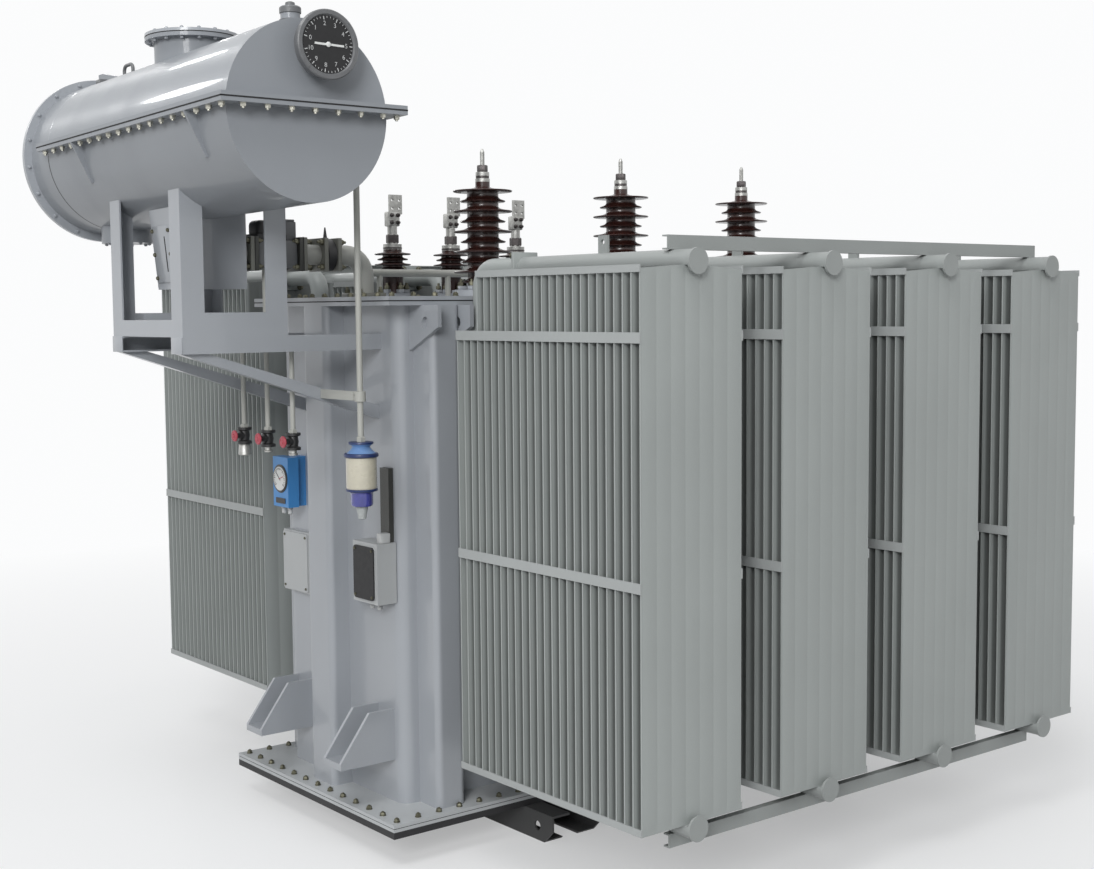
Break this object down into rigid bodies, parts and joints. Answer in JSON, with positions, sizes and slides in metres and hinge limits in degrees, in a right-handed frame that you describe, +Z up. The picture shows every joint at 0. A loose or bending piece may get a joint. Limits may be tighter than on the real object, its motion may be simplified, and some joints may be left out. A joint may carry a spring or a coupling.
{
  "type": "power transformer",
  "caption": "Oil-filled power transformer: bolted tank on skids, panel radiators along both sides, porcelain bushings and an end conservator on a bracket.",
  "frame": {"origin": "on the ground, in the middle of the machine's outline", "axes": "+X along the tank away from the conservator end, +Y to the low-voltage side, +Z up"},
  "size_m": [4.288, 4.139, 3.5848],
  "materials": {
    "tank_paint": "satin bluish grey paint",
    "radiator_paint": "satin greenish grey paint",
    "base_black": "matt black paint",
    "porcelain": "glazed dark brown porcelain",
    "terminal_metal": "tinned metal",
    "gauge_case": "dark grey paint",
    "dark_casting": "dark grey painted casting",
    "valve_black": "black painted casting",
    "breather_white": "white plastic",
    "instrument_blue": "blue paint"
  },
  "bodies": {
    "root": {"base_flange": "tank_paint", "base_plate": "base_black", "bottom_headers": "radiator_paint", "breather": "breather_white", "breather_pipe": "tank_paint", "cable_tray": "dark_casting", "conservator_end": "tank_paint", "conservator_lower": "tank_paint", "conservator_upper": "tank_paint", "cradle_beams": "tank_paint", "cradle_posts": "tank_paint", "end_stiffeners": "tank_paint", "front_skids": "base_black", "front_wall": "tank_paint", "gas_relay": "dark_casting", "hv_bushings": "porcelain", "hv_flanges": "tank_paint", "hv_terminals": "terminal_metal", "jacking_brackets": "tank_paint", "left_wall": "tank_paint", "level_gauge": "gauge_case", "lifting_lugs": "tank_paint", "lv_bushings": "porcelain", "lv_flanges": "tank_paint", "lv_terminals": "terminal_metal", "manhole_cover": "tank_paint", "oil_sump": "tank_paint", "oil_valve": "dark_casting", "radiator_bottom_pipes": "radiator_paint", "radiator_left_1": "radiator_paint", "radiator_left_2": "radiator_paint", "radiator_left_3": "radiator_paint", "radiator_left_4": "radiator_paint", "radiator_right_1": "radiator_paint", "radiator_right_2": "radiator_paint", "radiator_right_3": "radiator_paint", "radiator_right_4": "radiator_paint", "radiator_straps": "radiator_paint", "radiator_top_pipes": "radiator_paint", "rear_skids": "base_black", "rear_wall": "tank_paint", "relay_pipe": "tank_paint", "right_wall": "tank_paint", "rim_ends": "tank_paint", "rim_sides": "tank_paint", "sample_pipes": "tank_paint", "sample_valves": "valve_black", "side_box": "tank_paint", "side_stiffeners": "tank_paint", "support_arms": "tank_paint", "support_struts": "tank_paint", "tank_cover": "tank_paint", "terminal_box": "tank_paint", "thermometer": "instrument_blue", "tie_bars": "radiator_paint", "top_headers": "radiator_paint", "vent_pipe": "tank_paint"}
  },
  "joints": []
}
